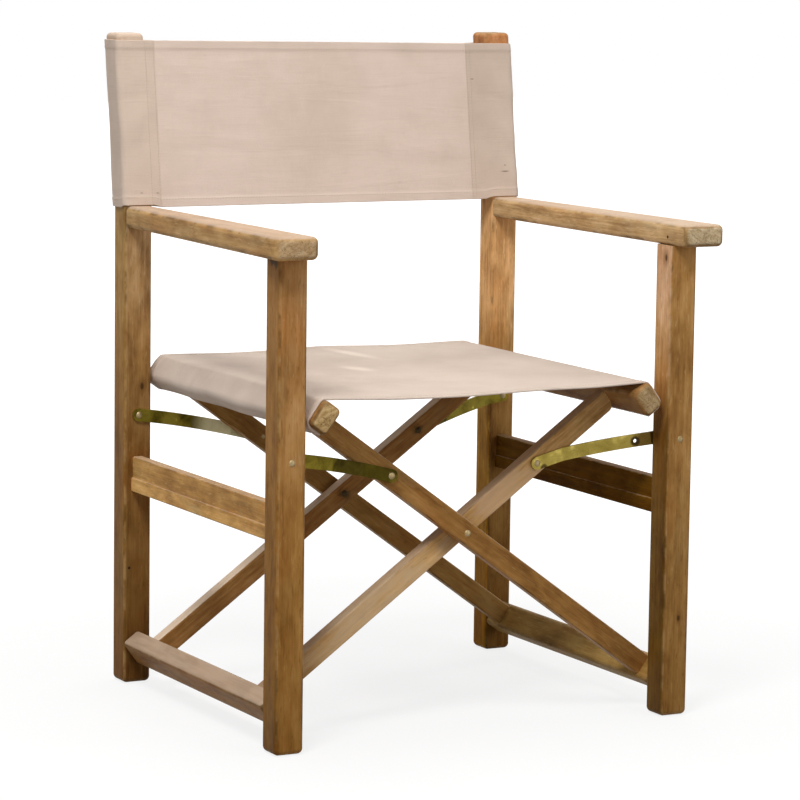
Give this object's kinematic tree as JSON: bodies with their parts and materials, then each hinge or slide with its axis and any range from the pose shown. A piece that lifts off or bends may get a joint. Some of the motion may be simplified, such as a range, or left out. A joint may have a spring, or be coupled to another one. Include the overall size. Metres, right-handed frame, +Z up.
{
  "type": "folding armchair",
  "caption": "Folding wooden armchair: side frames with arms, joined by crossing frames and brass stays, with taut cloth slings for the seat and back.",
  "frame": {"origin": "middle of the footprint on the floor, with the chair open", "axes": "+Z up, -Y the way the sitter faces, +X to the right of a person who looks at the front"},
  "size_m": [0.6362, 0.5751, 0.87],
  "materials": {
    "teak": "oiled golden-brown teak with soft worn arrises",
    "dowel": "plain hardwood dowel",
    "brass": "dull worn brass",
    "pin_steel": "plain round steel",
    "seat_canvas": "pale cream cotton canvas",
    "back_canvas": "pale cream cotton canvas, slightly darker than the seat"
  },
  "bodies": {
    "left_side": {"front_left_post": "teak", "rear_left_post": "teak", "left_arm": "teak", "left_arm_dowels": "dowel", "left_mid_rung": "teak", "left_foot_pins": "pin_steel", "left_stay_bolts": "brass", "left_stay_nuts": "brass", "back_sling": "back_canvas"},
    "inner_frame": {"inner_front_bar": "teak", "inner_rear_bar": "teak", "left_foot_rail": "teak", "right_seat_rail": "teak", "cross_bolts": "brass", "cross_nuts": "brass", "cross_washers": "brass", "inner_bar_rivets": "brass", "seat_sling": "seat_canvas"},
    "outer_frame": {"outer_front_bar": "teak", "outer_rear_bar": "teak", "right_foot_rail": "teak", "left_seat_rail": "teak", "outer_bar_rivets": "brass"},
    "right_side": {"front_right_post": "teak", "rear_right_post": "teak", "right_arm": "teak", "right_arm_dowels": "dowel", "right_mid_rung": "teak", "right_foot_pins": "pin_steel", "right_stay_bolts": "brass", "right_stay_nuts": "brass"},
    "front_left_strap": {"front_left_stay": "brass", "front_left_stay_rivet": "brass"},
    "rear_left_strap": {"rear_left_stay": "brass", "rear_left_stay_rivet": "brass"},
    "front_right_strap": {"front_right_stay": "brass", "front_right_stay_rivet": "brass"},
    "rear_right_strap": {"rear_right_stay": "brass", "rear_right_stay_rivet": "brass"}
  },
  "joints": [
    {"name": "fold", "type": "hinge", "parent": "left_side", "child": "inner_frame", "pos_m": [-0.278, 0, 0.049], "axis": [0, -1, 0], "range_deg": [0, 40.2], "deforming": ["seat_sling", "back_sling"]},
    {"name": "cross", "type": "hinge", "parent": "inner_frame", "child": "outer_frame", "pos_m": [0, 0, 0.25], "axis": [0, -1, 0], "range_deg": [-88.31, 0]},
    {"name": "right_foot", "type": "hinge", "parent": "outer_frame", "child": "right_side", "pos_m": [0.278, 0, 0.049], "axis": [0, -1, 0], "range_deg": [0, 40.25]},
    {"name": "front_left_strap_turn", "type": "hinge", "parent": "left_side", "child": "front_left_strap", "pos_m": [-0.278, -0.236, 0.364], "axis": [0, -1, 0], "range_deg": [0, 77.66]},
    {"name": "rear_left_strap_turn", "type": "hinge", "parent": "left_side", "child": "rear_left_strap", "pos_m": [-0.278, 0.236, 0.364], "axis": [0, -1, 0], "range_deg": [0, 77.66]},
    {"name": "front_right_strap_turn", "type": "hinge", "parent": "right_side", "child": "front_right_strap", "pos_m": [0.278, -0.236, 0.364], "axis": [0, -1, 0], "range_deg": [-77.66, 0]},
    {"name": "rear_right_strap_turn", "type": "hinge", "parent": "right_side", "child": "rear_right_strap", "pos_m": [0.278, 0.236, 0.364], "axis": [0, -1, 0], "range_deg": [-77.66, 0]}
  ],
  "couplings": [
    {"joint": "cross", "follows": "fold", "ratio": -2.1958},
    {"joint": "right_foot", "follows": "fold", "ratio": 1},
    {"joint": "front_left_strap_turn", "follows": "fold", "ratio": 1.9307},
    {"joint": "rear_left_strap_turn", "follows": "fold", "ratio": 1.9307},
    {"joint": "front_right_strap_turn", "follows": "fold", "ratio": -1.9307},
    {"joint": "rear_right_strap_turn", "follows": "fold", "ratio": -1.9307}
  ]
}
